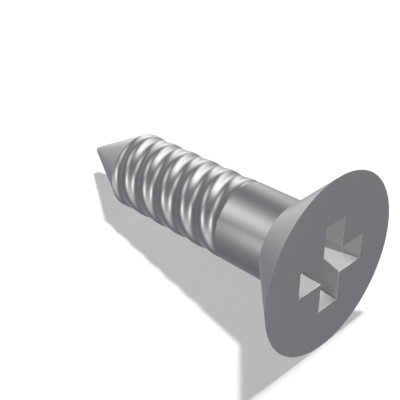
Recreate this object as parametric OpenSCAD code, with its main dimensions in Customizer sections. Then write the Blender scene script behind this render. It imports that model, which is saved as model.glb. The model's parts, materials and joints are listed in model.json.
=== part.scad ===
// Countersunk self-tapping screw, 4.8 mm by 19 mm, with a cross recess, a plain shank under the head,
// a two-start rolled thread and a smooth cone point. It lies on the head's rim and the cone point's rim.

/* [Head] */
// Diameter of the head across its sharp rim
head_d = 10.4; // [9.6:0.1:12]
// Angle of the countersunk cone, from side to side
head_angle = 90; // [80:1:100]

/* [Cross recess] */
// Length of the cross at the face, from one arm's end to the opposite one
recess_l = 5.2; // [4.4:0.1:6]
// Width of one arm at the face
recess_w = 1.56; // [1.3:0.02:1.8]
// Depth of the cross below the face
recess_depth = 2.7; // [1.8:0.1:3]
// Slope of each arm's end wall, measured from the screw's axis
recess_end_slope = 27.6; // [10:0.2:30]
// Slope of each arm's side walls, measured from the screw's axis
recess_side_slope = 11; // [4:0.5:12]

/* [Shank] */
// Diameter of the plain shank, and of the thread over its crests
shank_d = 4.8; // [4.2:0.1:5.4]
// Length from the head's face to the tip
screw_l = 19; // [16:0.5:50]
// Length from the head's face to the shoulder where the thread starts
plain_l = 6; // [4.5:0.1:8]

/* [Thread] */
// Distance from one crest to the next, along the screw
crest_spacing = 1.6; // [1.2:0.05:2]
// Number of crests that wind round side by side
thread_starts = 2; // [1:1:3]
// Depth of the groove between two crests
thread_depth = 0.16; // [0.1:0.01:0.6]
// Angle round the shank at which a crest meets the shoulder
thread_turn = 22.8; // [0:0.2:180]
// Length over which the grooves fade out above the cone point
fade_l = 0.5; // [0.2:0.1:1.5]

/* [Point] */
// Length of the cone point
point_l = 4.28; // [3:0.02:5.5]
// Diameter of the small flat at the tip
tip_d = 0.4; // [0.2:0.05:0.8]

/* [Hidden] */
$fn = 96;
steel = [0.5, 0.5, 0.52];

head_r = head_d / 2;
shank_r = shank_d / 2;
tip_r = tip_d / 2;
cone_h = (head_r - shank_r) / tan(head_angle / 2);
thread_end = screw_l - point_l;

// The thread's surface is a grid of columns round the screw and rings along it. One column round
// and one ring along is a step that follows the crest.
columns = 40;
lead = crest_spacing * thread_starts;
grid_l = thread_end - plain_l;
rings = ceil(grid_l * columns / lead);
ring_step = grid_l / rings;
overlap = 0.3;
core_r = shank_r - thread_depth - overlap;

// Places along the screw are counted from the head's face towards the tip.
// The grooves fade down to a fifth of their depth at the cone point's rim.
end_share = 0.2;
function groove_depth(along) =
    thread_depth * (end_share + (1 - end_share) * sin(90 * min(1, (thread_end - along) / fade_l)));
function thread_r(turn, along) =
    shank_r - groove_depth(along) / 2
    * (1 - cos(thread_starts * (turn - thread_turn) + 360 * (along - plain_l) / crest_spacing));

// The rest pose: a line under the screw touches the head's rim and the cone point's rim.
tilt = atan((head_r - shank_r) / thread_end);
left_end = -screw_l * cos(tilt) - tip_r * sin(tilt);
right_end = head_r * sin(tilt);
face_centre = [-(left_end + right_end) / 2, 0, head_r * cos(tilt)];

// Wedge that is widest at the head's face: one bar of the cross
module recess_bar() {
    reach = overlap;
    low = -recess_depth;
    end_run = tan(recess_end_slope);
    side_run = tan(recess_side_slope);
    xt = recess_l / 2 + reach * end_run;
    yt = recess_w / 2 + reach * side_run;
    xb = recess_l / 2 - recess_depth * end_run;
    yb = recess_w / 2 - recess_depth * side_run;
    polyhedron(
        points = [[-xb, -yb, low], [xb, -yb, low], [xb, yb, low], [-xb, yb, low],
                  [-xt, -yt, reach], [xt, -yt, reach], [xt, yt, reach], [-xt, yt, reach]],
        faces = [[0, 1, 2, 3], [7, 6, 5, 4], [1, 0, 4, 5], [2, 1, 5, 6], [3, 2, 6, 7], [0, 3, 7, 4]]);
}

module cross_recess() {
    recess_bar();
    rotate([0, 0, 90]) recess_bar();
}

// Countersunk head and plain shank with the cross recess cut into them, the head's face up at z = 0.
// The shank goes on as a core inside the thread.
module head_and_shank() {
    difference() {
        union() {
            translate([0, 0, -cone_h]) cylinder(h = cone_h, r1 = shank_r, r2 = head_r);
            translate([0, 0, -plain_l]) cylinder(h = plain_l - cone_h, r = shank_r);
            translate([0, 0, -thread_end]) cylinder(h = thread_end - plain_l, r = core_r);
        }
        cross_recess();
    }
}

// Threaded length, whose grooves fade out at the cone point's rim
module thread() {
    side_points = [for (j = [0 : rings], i = [0 : columns - 1])
        let (turn = 360 * i / columns, along = plain_l + j * ring_step, r = thread_r(turn, along))
        [r * cos(turn), r * sin(turn), -along]];
    side_faces = [for (j = [0 : rings - 1], i = [0 : columns - 1])
        let (k = (i + 1) % columns, a = j * columns + i, b = j * columns + k,
             c = a + columns, d = b + columns)
        each [[a, b, c], [b, d, c]]];
    top = [for (i = [0 : columns - 1]) columns - 1 - i];
    bottom = [for (i = [0 : columns - 1]) rings * columns + i];
    polyhedron(points = side_points, faces = concat(side_faces, [top, bottom]));
}

// Smooth cone point, with a stub that reaches up into the core
module point() {
    translate([0, 0, -screw_l]) cylinder(h = point_l, r1 = tip_r, r2 = shank_r);
    translate([0, 0, -thread_end]) cylinder(h = overlap, r = core_r - overlap);
}

module screw() {
    color(steel)
    translate(face_centre)
    rotate([0, 90 - tilt, 0]) {
        head_and_shank();
        thread();
        point();
    }
}

screw();
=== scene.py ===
"""Countersunk self-tapping screw: the steel piece, its material and the studio that it is shown in."""

import json
import math

import bmesh
import bpy
from mathutils import Matrix, Vector


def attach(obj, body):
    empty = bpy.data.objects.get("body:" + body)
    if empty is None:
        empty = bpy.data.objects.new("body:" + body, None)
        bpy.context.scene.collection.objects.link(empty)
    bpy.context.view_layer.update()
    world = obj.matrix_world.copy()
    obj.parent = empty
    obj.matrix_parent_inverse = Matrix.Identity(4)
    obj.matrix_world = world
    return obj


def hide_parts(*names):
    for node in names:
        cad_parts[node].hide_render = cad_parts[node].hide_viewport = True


bl_info = {
    "name": "Countersunk Self-Tapping Screw",
    "version": (1, 0, 0),
    "blender": (4, 5, 0),
    "location": "3D View > Sidebar > Screw",
    "description": "Makes a countersunk self-tapping screw around its CAD frame, with a small studio",
    "category": "Add Mesh",
}

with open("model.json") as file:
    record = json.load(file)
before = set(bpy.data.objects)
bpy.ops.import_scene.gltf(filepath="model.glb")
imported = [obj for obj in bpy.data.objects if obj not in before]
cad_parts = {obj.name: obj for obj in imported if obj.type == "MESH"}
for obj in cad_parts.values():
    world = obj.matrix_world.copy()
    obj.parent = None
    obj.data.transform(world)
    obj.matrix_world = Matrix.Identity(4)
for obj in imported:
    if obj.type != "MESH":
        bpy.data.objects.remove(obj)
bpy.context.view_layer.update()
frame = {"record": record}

MM = 0.001
MOUNTS = {mount["name"]: mount for mount in frame["record"]["mounts"]}

# Points closer together than this are one point.
TOUCH = 0.001 * MM
# Faces round the screw, and the distance from one ring of the thread's mesh to the next
LATHE_SIDES = 144
RING_STEP = 0.05 * MM
# Share of the thread's depth that is left at the cone point's rim
END_DEPTH = 0.2
# Edges sharper than this are shaded as edges.
SMOOTH_ANGLE = math.radians(25)
WHITE = (1.0, 1.0, 1.0, 1.0)


# Sizes and colours


class ScrewSizes(bpy.types.PropertyGroup):
    """Sizes of the screw, in metres and radians."""

    head_diameter: bpy.props.FloatProperty(
        name="Head Diameter", description="Across the head's sharp rim",
        default=10.4 * MM, min=0.0, unit="LENGTH")
    head_angle: bpy.props.FloatProperty(
        name="Head Angle", description="Angle of the countersunk cone, from side to side",
        default=math.radians(90), unit="ROTATION")
    recess_length: bpy.props.FloatProperty(
        name="Recess Length", description="Across the cross at the face, from end to end of two arms",
        default=5.2 * MM, min=0.0, unit="LENGTH")
    recess_width: bpy.props.FloatProperty(
        name="Recess Width", description="Width of one arm at the face",
        default=1.56 * MM, min=0.0, unit="LENGTH")
    recess_depth: bpy.props.FloatProperty(
        name="Recess Depth", description="Depth of the cross below the face",
        default=2.7 * MM, min=0.0, unit="LENGTH")
    recess_end_slope: bpy.props.FloatProperty(
        name="Recess End Slope", description="Slope of an arm's end wall, from the screw's axis",
        default=math.radians(27.6), unit="ROTATION")
    recess_side_slope: bpy.props.FloatProperty(
        name="Recess Side Slope", description="Slope of an arm's side walls, from the screw's axis",
        default=math.radians(11), unit="ROTATION")
    shank_diameter: bpy.props.FloatProperty(
        name="Shank Diameter", description="Across the plain shank and over the thread's crests",
        default=4.8 * MM, min=0.0, unit="LENGTH")
    length: bpy.props.FloatProperty(
        name="Length", description="From the head's face to the tip",
        default=19 * MM, min=0.0, unit="LENGTH")
    plain_length: bpy.props.FloatProperty(
        name="Plain Length", description="From the head's face to the shoulder where the thread starts",
        default=6 * MM, min=0.0, unit="LENGTH")
    crest_spacing: bpy.props.FloatProperty(
        name="Crest Spacing", description="From one crest to the next along the screw",
        default=1.6 * MM, min=0.0, unit="LENGTH")
    starts: bpy.props.IntProperty(
        name="Starts", description="Crests that wind round side by side", default=2, min=1)
    thread_depth: bpy.props.FloatProperty(
        name="Thread Depth", description="Depth of the groove between two crests",
        default=0.08 * MM, min=0.0, unit="LENGTH")
    thread_turn: bpy.props.FloatProperty(
        name="Thread Turn", description="Angle round the shank at which a crest meets the shoulder",
        default=math.radians(22.8), unit="ROTATION")
    fade_length: bpy.props.FloatProperty(
        name="Fade Length", description="Length over which the grooves fade out above the point",
        default=0.5 * MM, min=0.0, unit="LENGTH")
    point_length: bpy.props.FloatProperty(
        name="Point Length", description="Length of the cone point",
        default=4.28 * MM, min=0.0, unit="LENGTH")
    tip_diameter: bpy.props.FloatProperty(
        name="Tip Diameter", description="Across the small flat at the tip",
        default=0.4 * MM, min=0.0, unit="LENGTH")
    edge_break: bpy.props.FloatProperty(
        name="Edge Break", description="Width of the worn band on the sharp edges",
        default=0.008 * MM, min=0.0, unit="LENGTH")


class ScrewFinish(bpy.types.PropertyGroup):
    """Look of the steel."""

    steel: bpy.props.FloatVectorProperty(
        name="Steel", description="Colour of the bare steel", subtype="COLOR", size=4,
        default=(0.5, 0.5, 0.505, 1.0), min=0.0, max=1.0)
    roughness: bpy.props.FloatProperty(
        name="Roughness", description="Roughness of the rolled steel", subtype="FACTOR",
        default=0.05, min=0.0, max=1.0)
    punched_roughness: bpy.props.FloatProperty(
        name="Punched Roughness", description="Roughness of the recess walls, as the punch left them",
        subtype="FACTOR", default=0.6, min=0.0, max=1.0)
    cone_roughness: bpy.props.FloatProperty(
        name="Cone Roughness", description="Roughness of the cone under the head", subtype="FACTOR",
        default=0.12, min=0.0, max=1.0)
    punched_steel: bpy.props.FloatProperty(
        name="Punched Steel", description="Brightness of the recess walls", subtype="FACTOR",
        default=0.5, min=0.0, max=1.0)
    punched_dullness: bpy.props.FloatProperty(
        name="Punched Dullness", description="How far the punch's dull grey film covers the walls",
        subtype="FACTOR", default=1.0, min=0.0, max=1.0)
    flank_relief: bpy.props.FloatProperty(
        name="Flank Relief", description="Depth that the grooves seem to have besides the mesh's own",
        default=0.16 * MM, min=0.0, unit="LENGTH")
    line_scale: bpy.props.FloatProperty(
        name="Line Scale", description="Fine lines round the axis, as a count in a metre",
        default=9000.0, min=0.0)
    line_depth: bpy.props.FloatProperty(
        name="Line Depth", description="Depth of the fine lines", default=0.0004 * MM, min=0.0,
        unit="LENGTH")
    line_drift: bpy.props.FloatProperty(
        name="Line Drift", description="Share by which the lines change round the axis",
        default=0.06, min=0.0)
    mottle_scale: bpy.props.FloatProperty(
        name="Mottle Scale", description="Faint patches, as a count in a metre", default=900.0, min=0.0)
    grain_scale: bpy.props.FloatProperty(
        name="Grain Scale", description="Fine grain, as a count in a metre", default=14000.0, min=0.0)


class StudioLook(bpy.types.PropertyGroup):
    """Lights and floor."""

    floor_size: bpy.props.FloatProperty(
        name="Floor Size", description="Side of the square floor", default=4.0, unit="LENGTH")
    floor_colour: bpy.props.FloatVectorProperty(
        name="Floor Colour", description="Colour of the floor", subtype="COLOR", size=4,
        default=(0.8, 0.8, 0.8, 1.0), min=0.0, max=1.0)
    floor_glow: bpy.props.FloatProperty(
        name="Floor Glow", description="Light that the floor shows to the camera besides its own",
        default=0.33, min=0.0)
    ambient: bpy.props.FloatProperty(
        name="Ambient", description="Level of the room's light on the floor", default=0.18, min=0.0)
    room_grey: bpy.props.FloatVectorProperty(
        name="Room Grey", description="Room that the steel reflects between the soft lights",
        subtype="COLOR", size=4, default=(0.25, 0.25, 0.27, 1.0), min=0.0, max=1.0)
    sun_strength: bpy.props.FloatProperty(
        name="Sun", description="Strength of the light that casts the shadow", default=2.4, min=0.0)
    sun_size: bpy.props.FloatProperty(
        name="Sun Size", description="Width of that light, which softens the shadow's edge",
        default=math.radians(5), unit="ROTATION")
    sun_from: bpy.props.FloatVectorProperty(
        name="Sun From", description="Direction that the light comes from", subtype="DIRECTION",
        default=(-0.18, 0.26, 0.95))
    recess_lamp: bpy.props.FloatProperty(
        name="Recess Lamp", description="Power of the small spot that looks into the recess",
        default=2.8, min=0.0)
    recess_lamp_from: bpy.props.FloatVectorProperty(
        name="Recess Lamp From", description="Direction that the spot's light comes from",
        subtype="DIRECTION", default=(0.66, 0.36, 0.66))


# Helpers


def screw_place():
    """Matrix from the screw's own axes, face at z = 0 and tip down, to the row's frame."""
    out = Vector(MOUNTS["drive_recess"]["axis"]).normalized()
    side = Vector((0, 1, 0))
    down = side.cross(out)
    place = Matrix((down, side, out)).transposed().to_4x4()
    place.translation = Vector(MOUNTS["drive_recess"]["pos_m"])
    return place


def mesh_piece(name, bm, material):
    """Object at the origin that holds the finished mesh."""
    mesh = bpy.data.meshes.new(name)
    bm.to_mesh(mesh)
    bm.free()
    mesh.materials.append(material)
    piece = bpy.data.objects.new(name, mesh)
    bpy.context.scene.collection.objects.link(piece)
    return piece


def compass(azimuth, height):
    """Direction of a light, from its azimuth and height in degrees."""
    turn, rise = math.radians(azimuth), math.radians(height)
    return Vector((math.sin(turn) * math.cos(rise), -math.cos(turn) * math.cos(rise),
                   math.sin(rise)))


class Channel:
    """A number that changes over a surface, on which ordinary arithmetic adds Math nodes."""

    def __init__(self, graph, socket):
        self.graph, self.socket = graph, socket

    def math(self, operation, *values):
        return self.graph.wrap(self.graph.node("ShaderNodeMath", {"operation": operation},
                                               *(self, *values)).outputs[0])

    def __add__(self, other):
        return self.math("ADD", other)

    __radd__ = __add__

    def __sub__(self, other):
        return self.math("SUBTRACT", other)

    def __rsub__(self, other):
        return (self * -1) + other

    def __mul__(self, other):
        return self.math("MULTIPLY", other)

    __rmul__ = __mul__

    def __truediv__(self, other):
        return self.math("DIVIDE", other)

    def squared(self):
        return self * self


class Graph:
    """Node tree of a material or the world, with one method that adds any node."""

    # Numbers of a Mix node's colour sockets
    MIX_BELOW = 6
    MIX_ABOVE = 7
    MIX_RESULT = 2
    # Width of the soft cut that keeps a light out of the half of the world behind it
    LIGHT_CUT = 0.1

    def __init__(self, tree):
        self.tree = tree

    @classmethod
    def of_material(cls, name):
        material = bpy.data.materials.new(name)
        material.use_nodes = True
        graph = cls(material.node_tree)
        graph.material = material
        graph.shader = material.node_tree.nodes["Principled BSDF"]
        return graph

    def wrap(self, socket):
        return Channel(self, socket)

    def link(self, target, value):
        if isinstance(value, Channel):
            value = value.socket
        if isinstance(value, bpy.types.NodeSocket):
            self.tree.links.new(value, target)
        else:
            target.default_value = value

    def node(self, kind, settings=None, *values, **named):
        made = self.tree.nodes.new(kind)
        for name, value in (settings or {}).items():
            setattr(made, name, value)
        for number, value in enumerate(values):
            self.link(made.inputs[number], value)
        for name, value in named.items():
            self.link(made.inputs[name.replace("_", " ")], value)
        return made

    def noise(self, coords, scale, detail):
        return self.wrap(self.node("ShaderNodeTexNoise", {}, Vector=coords, Scale=scale,
                                   Detail=detail).outputs["Fac"])

    def step(self, value, width):
        """0 below zero and 1 above it, with a soft change of this width."""
        return (value / width + 0.5).math("MAXIMUM", 0.0).math("MINIMUM", 1.0)

    def mix(self, share, below, above, blend="MIX"):
        """Two colours mixed by a share, from the first to the second unless another blend is named."""
        made = self.node("ShaderNodeMix", {"data_type": "RGBA", "blend_type": blend}, share)
        self.link(made.inputs[self.MIX_BELOW], below)
        self.link(made.inputs[self.MIX_ABOVE], above)
        return made.outputs[self.MIX_RESULT]

    def share_along(self, direction, axis):
        """How far the world's direction points along an axis."""
        dot = self.node("ShaderNodeVectorMath", {"operation": "DOT_PRODUCT"}, direction, axis)
        return self.wrap(dot.outputs["Value"])

    def soft_light(self, direction, azimuth, height, half_width, half_height):
        """Oval light in the world that fades out from its centre, sized by angles in degrees."""
        centre, upward = compass(azimuth, height), compass(azimuth, height + 90)
        sideways = upward.cross(centre)
        across = self.share_along(direction, sideways) / math.sin(math.radians(half_width))
        along = self.share_along(direction, upward) / math.sin(math.radians(half_height))
        ahead = self.step(self.share_along(direction, centre), self.LIGHT_CUT)
        return ((across.squared() + along.squared()) * -1).math("EXPONENT") * ahead


# The screw


def thread_radius(sizes, turn, along):
    """Radius of the rolled thread: a rounded wave that winds round the shank and fades at the point."""
    phase = (sizes.starts * (turn - sizes.thread_turn)
             + 2 * math.pi * (along - sizes.plain_length) / sizes.crest_spacing)
    left = min(1.0, (sizes.length - sizes.point_length - along) / sizes.fade_length)
    depth = sizes.thread_depth * (END_DEPTH + (1 - END_DEPTH) * math.sin(left * math.pi / 2))
    return sizes.shank_diameter / 2 - depth / 2 * (1 - math.cos(phase))


def lathe_profile(sizes):
    """Half section from the tip's flat to the head's rim, as (radius, height) pairs."""
    head, shank, tip = sizes.head_diameter / 2, sizes.shank_diameter / 2, sizes.tip_diameter / 2
    thread_end = sizes.length - sizes.point_length
    cone_height = (head - shank) / math.tan(sizes.head_angle / 2)
    thread_length = thread_end - sizes.plain_length
    rings = math.ceil(thread_length / RING_STEP)
    groove = shank - sizes.thread_depth
    profile = [(tip, -sizes.length), (shank, -thread_end)]
    profile += [(groove, -thread_end + thread_length * i / rings) for i in range(rings + 1)]
    profile += [(shank, -sizes.plain_length), (shank, -cone_height),
                (head - sizes.edge_break, -sizes.edge_break), (head - sizes.edge_break, 0.0)]
    return profile


def screw_mesh(sizes):
    """Closed mesh of the screw in its own axes."""
    bm = bmesh.new()
    verts = [bm.verts.new((radius, 0, height)) for radius, height in lathe_profile(sizes)]
    edges = [bm.edges.new(pair) for pair in zip(verts, verts[1:])]
    bmesh.ops.spin(bm, geom=verts + edges, cent=(0, 0, 0), axis=(0, 0, 1), dvec=(0, 0, 0),
                   angle=2 * math.pi, steps=LATHE_SIDES, use_merge=True, use_duplicate=False)
    roll_thread(bm, sizes)
    tip_rim = [e for e in bm.edges if all(abs(v.co.z + sizes.length) < TOUCH for v in e.verts)]
    bmesh.ops.contextual_create(bm, geom=tip_rim)
    cut_head_face(bm, sizes)
    bmesh.ops.remove_doubles(bm, verts=bm.verts[:], dist=TOUCH)
    bmesh.ops.recalc_face_normals(bm, faces=bm.faces[:])
    return bm


def roll_thread(bm, sizes):
    """Moves the groove's rings out to the thread's wave."""
    groove = sizes.shank_diameter / 2 - sizes.thread_depth
    thread_end = sizes.length - sizes.point_length
    for v in bm.verts:
        radius, along = math.hypot(v.co.x, v.co.y), -v.co.z
        in_thread = sizes.plain_length - TOUCH < along < thread_end + TOUCH
        if not in_thread or radius > groove + TOUCH:
            continue
        turn = math.atan2(v.co.y, v.co.x)
        wanted = thread_radius(sizes, turn, along)
        v.co.x, v.co.y = wanted * math.cos(turn), wanted * math.sin(turn)


def cross_outline(sizes, sink):
    """Corners of the cross recess at a depth below the face, starting with the +X arm."""
    length = sizes.recess_length / 2 - sink * math.tan(sizes.recess_end_slope)
    width = sizes.recess_width / 2 - sink * math.tan(sizes.recess_side_slope)
    arm = [Vector((length, -width, -sink)), Vector((length, width, -sink)),
           Vector((width, width, -sink))]
    return [Matrix.Rotation(quarter * math.pi / 2, 3, "Z") @ corner
            for quarter in range(4) for corner in arm]


def cut_head_face(bm, sizes):
    """Closes the head with its flat face, which has the cross recess sunk into it."""
    edge = sizes.edge_break
    rim = [e for e in bm.edges if all(abs(v.co.z) < TOUCH for v in e.verts)]
    mouth = [bm.verts.new((co.x * (1 + edge / co.length), co.y * (1 + edge / co.length), 0))
             for co in cross_outline(sizes, 0)]
    outline = [bm.edges.new((a, b)) for a, b in zip(mouth, mouth[1:] + mouth[:1])]
    bmesh.ops.triangle_fill(bm, use_beauty=True, edges=rim + outline, normal=(0, 0, 1))
    inside = [f for f in bm.faces if in_cross(f, mouth, sizes)]
    bmesh.ops.delete(bm, geom=inside, context="FACES_ONLY")
    for sink in (edge, sizes.recess_depth):
        grown = bmesh.ops.extrude_edge_only(bm, edges=outline)["geom"]
        lower = [g for g in grown if isinstance(g, bmesh.types.BMVert)]
        outline = [g for g in grown if isinstance(g, bmesh.types.BMEdge)
                   and all(v in lower for v in g.verts)]
        corners = cross_outline(sizes, sink)
        # Known fault: at the bottom the nearest corner to an inner one is an arm's end, so the
        # bottom has 8 corners where it should have 12, and the side walls are twisted.
        for v in lower:
            v.co = min(corners, key=lambda corner: (corner.xy - v.co.xy).length)
    bmesh.ops.contextual_create(bm, geom=outline)


def in_cross(face, mouth, sizes):
    """Whether a face lies inside the cross at the recess's mouth."""
    middle = face.calc_center_median()
    in_arm = min(abs(middle.x), abs(middle.y)) < sizes.recess_width / 2
    return in_arm and all(v in mouth for v in face.verts)


class SCREW_OT_make_screw(bpy.types.Operator):
    """Make the steel screw around its CAD node"""

    bl_idname = "screw.make_screw"
    bl_label = "Make Screw"

    def execute(self, context):
        scene = context.scene
        bm = screw_mesh(scene.screw_sizes)
        bm.transform(screw_place())
        piece = mesh_piece("steel_screw", bm, rolled_steel(scene.screw_finish, scene.screw_sizes))
        smooth_by_angle(piece, SMOOTH_ANGLE)
        piece.visible_glossy = False
        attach(piece, "root")
        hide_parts("screw")
        return {"FINISHED"}


def smooth_by_angle(piece, angle):
    """Smooth shading that breaks at the sharp edges."""
    piece.data.shade_smooth()
    piece.data.set_sharp_from_angle(angle=angle)


# The recess fills this radius at the face, which narrows by this share of the depth.
RECESS_REACH = 2.72 * MM
RECESS_TAPER = 0.3
# The face's finish ends this far below it, and the shank's this far outside its radius.
FACE_SKIN = 0.004 * MM
BEYOND_SHANK = 0.02 * MM
# Width over which one finish goes over into the next
SOFT_EDGE = 0.03 * MM
# Extra share of blue in the recess's grey film
FILM_BLUE = 0.02
# How far the patches and the lines change the steel's brightness
MOTTLE_SHADE = 0.08
LINE_SHADE = 0.04
# How far the patches, the lines and the grain change its roughness
MOTTLE_ROUGHNESS = 0.05
LINE_ROUGHNESS = 0.04
GRAIN_ROUGHNESS = 0.03
# Depth of the grain as a share of the lines' depth
GRAIN_RELIEF = 0.5


def rolled_steel(finish, sizes):
    """Bare steel: fine lines round the axis, faint patches, a duller cone and a dull grey recess."""
    graph = Graph.of_material("rolled_steel")
    place = screw_place().inverted()
    coords = graph.node("ShaderNodeTexCoord").outputs["Object"]
    turned = graph.node("ShaderNodeMapping", {}, Vector=coords, Location=place.translation,
                        Rotation=place.to_euler()).outputs["Vector"]
    axes = graph.node("ShaderNodeSeparateXYZ", {}, Vector=turned)
    across, side, height = (graph.wrap(axes.outputs[name]) for name in "XYZ")
    radius = (across.squared() + side.squared()).math("SQRT")

    below_face = graph.step(height * -1 - FACE_SKIN, FACE_SKIN)
    punched = graph.step(RECESS_REACH + height * RECESS_TAPER - radius, SOFT_EDGE) * below_face
    cone = (graph.step(radius - sizes.shank_diameter / 2 - BEYOND_SHANK, SOFT_EDGE) * below_face
            * (1 - punched))

    thread_end = sizes.length - sizes.point_length
    threaded = (graph.step(height * -1 - sizes.plain_length, SOFT_EDGE)
                * graph.step(height + thread_end, SOFT_EDGE))
    turn = side.math("ARCTAN2", across)
    phase = ((turn - sizes.thread_turn) * sizes.starts
             - (height + sizes.plain_length) * (2 * math.pi / sizes.crest_spacing))
    flanks = phase.math("COSINE") * threaded * (finish.flank_relief / 2)

    section = graph.node("ShaderNodeCombineXYZ", {}, radius, height, across * finish.line_drift)
    lines = graph.noise(section.outputs["Vector"], scale=finish.line_scale, detail=3) - 0.5
    mottle = graph.noise(turned, scale=finish.mottle_scale, detail=4) - 0.5
    grain = graph.noise(turned, scale=finish.grain_scale, detail=2) - 0.5

    shader = graph.shader
    shade = 1 + mottle * MOTTLE_SHADE + lines * LINE_SHADE
    level = finish.steel[1] + punched * (finish.punched_steel - finish.steel[1])
    bluish = punched * FILM_BLUE + finish.steel[2] / finish.steel[1]
    colour = graph.node("ShaderNodeCombineColor", {}, level * shade, level * shade,
                        level * shade * bluish)
    graph.link(shader.inputs["Base Color"], colour.outputs["Color"])
    graph.link(shader.inputs["Metallic"], 1 - punched * finish.punched_dullness)
    smooth = (finish.roughness + mottle * MOTTLE_ROUGHNESS + lines * LINE_ROUGHNESS
              + grain * GRAIN_ROUGHNESS)
    graph.link(shader.inputs["Roughness"],
               smooth + cone * (finish.cone_roughness - finish.roughness)
               + punched * (finish.punched_roughness - finish.roughness))
    relief = (lines + grain * GRAIN_RELIEF) * finish.line_depth + flanks
    bump = graph.node("ShaderNodeBump", {}, Strength=1.0, Distance=1.0, Height=relief)
    graph.link(shader.inputs["Normal"], bump.outputs["Normal"])
    return graph.material


# The studio

# Width of the view, and the camera's place and aim in the screw's own axes, found from the outline
PHOTO_FIELD = math.radians(30)
PHOTO_CAMERA = Vector((-21.9675, -26.9046, 17.4046)) * MM
PHOTO_TARGET = Vector((0, 0, -9.5)) * MM


def photo_camera(scene):
    """Camera that stands to the screw as the photograph's does."""
    data = bpy.data.cameras.new("photo_camera")
    data.angle = PHOTO_FIELD
    data.clip_start = 1 * MM
    camera = bpy.data.objects.new("photo_camera", data)
    scene.collection.objects.link(camera)
    back = (PHOTO_CAMERA - PHOTO_TARGET).normalized()
    above_screw = Vector((-1, 0, 0))
    right = above_screw.cross(back).normalized()
    up = back.cross(right)
    pose = Matrix((right, up, back)).transposed().to_4x4()
    pose.translation = PHOTO_CAMERA
    camera.matrix_world = screw_place() @ pose
    scene.camera = camera


# Soft lights that the steel reflects: azimuth, height, half width and half height in degrees, and
# strength. Azimuth 0 is in front of the screw's side, and 90 is beyond its head.
SOFT_LIGHTS = {
    "high strip": (-60, 30, 25, 20, 1.0),
    "front strip": (-15, 0, 15, 20, 1.5),
    "back strip": (-155, 50, 15, 35, 1.5),
    "far strip": (-130, -5, 15, 20, 1.25),
    "tip light": (-105, -20, 10, 10, 0.5),
    "overhead": (180, 85, 20, 20, 1.25),
    "floor light": (50, -30, 40, 25, 1.5),
}


def studio_world(look):
    """White to the camera, soft lights in the steel's reflections and a plain level elsewhere."""
    world = bpy.data.worlds.new("studio")
    world.use_nodes = True
    world.cycles.sampling_method = "NONE"
    graph = Graph(world.node_tree)
    direction = graph.node("ShaderNodeTexCoord").outputs["Generated"]
    lights = sum(graph.soft_light(direction, *placing) * strength
                 for *placing, strength in SOFT_LIGHTS.values())
    rays = graph.node("ShaderNodeLightPath").outputs
    studio = graph.mix(1.0, look.room_grey, lights, "ADD")
    plain = (look.ambient, look.ambient, look.ambient, 1.0)
    lit = graph.mix(rays["Is Glossy Ray"], plain, studio)
    seen = graph.mix(rays["Is Camera Ray"], lit, WHITE)
    graph.link(world.node_tree.nodes["Background"].inputs["Color"], seen)
    return world


def pale_floor(look):
    """Floor that is white to the camera and keeps the screw's shadow."""
    graph = Graph.of_material("pale_floor")
    inputs = graph.shader.inputs
    inputs["Base Color"].default_value = look.floor_colour
    inputs["Roughness"].default_value = 1.0
    inputs["Specular IOR Level"].default_value = 0.0
    inputs["Emission Color"].default_value = WHITE
    camera = graph.wrap(graph.node("ShaderNodeLightPath").outputs["Is Camera Ray"])
    graph.link(inputs["Emission Strength"], camera * look.floor_glow)
    return graph.material


def floor_piece(look):
    """Square floor that the screw lies on, out of the steel's reflections."""
    bm = bmesh.new()
    bmesh.ops.create_grid(bm, x_segments=1, y_segments=1, size=look.floor_size / 2)
    floor = mesh_piece("floor", bm, pale_floor(look))
    floor.visible_glossy = False


def hidden_lamp(scene, name, kind, energy, towards):
    """Lamp that shines from a direction, out of the steel's reflections."""
    lamp = bpy.data.objects.new(name, bpy.data.lights.new(name, kind))
    lamp.data.energy = energy
    lamp.rotation_euler = Vector(towards).to_track_quat("Z", "Y").to_euler()
    lamp.visible_glossy = False
    scene.collection.objects.link(lamp)
    return lamp


def shadow_sun(scene, look):
    """Sun that casts the screw's shadow on the floor."""
    sun = hidden_lamp(scene, "sun", "SUN", look.sun_strength, look.sun_from)
    sun.data.angle = look.sun_size


# The spot's distance from the recess, the radius that it lights there, the lamp's own radius, which
# softens the edge, and how far beside the recess's centre it aims
SPOT_DISTANCE = 250 * MM
SPOT_RADIUS = 2.7 * MM
SPOT_SOFTNESS = 0.8 * MM
SPOT_SHIFT = Vector((0, 0.35, 0.6)) * MM


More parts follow.
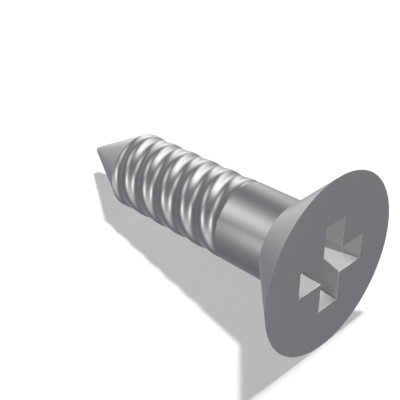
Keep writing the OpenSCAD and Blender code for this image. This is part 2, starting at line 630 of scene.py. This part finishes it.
def recess_spot(scene, look):
    """Small soft spot that lights the walls of the cross recess and little else."""
    spot = hidden_lamp(scene, "recess_spot", "SPOT", look.recess_lamp, look.recess_lamp_from)
    spot.data.spot_size = 2 * math.atan(SPOT_RADIUS / SPOT_DISTANCE)
    spot.data.shadow_soft_size = SPOT_SOFTNESS
    spot.location = (Vector(MOUNTS["drive_recess"]["pos_m"]) + SPOT_SHIFT
                     + Vector(look.recess_lamp_from).normalized() * SPOT_DISTANCE)


class SCREW_OT_make_studio(bpy.types.Operator):
    """Make the floor, the lights and the camera"""

    bl_idname = "screw.make_studio"
    bl_label = "Make Studio"

    def execute(self, context):
        scene = context.scene
        look = scene.screw_studio
        photo_camera(scene)
        floor_piece(look)
        shadow_sun(scene, look)
        recess_spot(scene, look)
        scene.world = studio_world(look)
        scene.view_settings.view_transform = "Standard"
        return {"FINISHED"}


class SCREW_PT_panel(bpy.types.Panel):
    """Buttons and sizes of the screw"""

    bl_idname = "SCREW_PT_panel"
    bl_label = "Screw"
    bl_space_type = "VIEW_3D"
    bl_region_type = "UI"
    bl_category = "Screw"

    def draw(self, context):
        layout = self.layout
        for operator in (SCREW_OT_make_studio, SCREW_OT_make_screw):
            layout.operator(operator.bl_idname)
        for group in (context.scene.screw_sizes, context.scene.screw_finish, context.scene.screw_studio):
            for name in group.__annotations__:
                layout.prop(group, name)


CLASSES = (ScrewSizes, ScrewFinish, StudioLook, SCREW_OT_make_studio, SCREW_OT_make_screw,
           SCREW_PT_panel)


def register():
    for cls in CLASSES:
        bpy.utils.register_class(cls)
    bpy.types.Scene.screw_sizes = bpy.props.PointerProperty(type=ScrewSizes)
    bpy.types.Scene.screw_finish = bpy.props.PointerProperty(type=ScrewFinish)
    bpy.types.Scene.screw_studio = bpy.props.PointerProperty(type=StudioLook)


def unregister():
    del bpy.types.Scene.screw_studio
    del bpy.types.Scene.screw_finish
    del bpy.types.Scene.screw_sizes
    for cls in reversed(CLASSES):
        bpy.utils.unregister_class(cls)


def main():
    register()
    bpy.ops.screw.make_studio()
    bpy.ops.screw.make_screw()


if __name__ == "__main__":
    main()
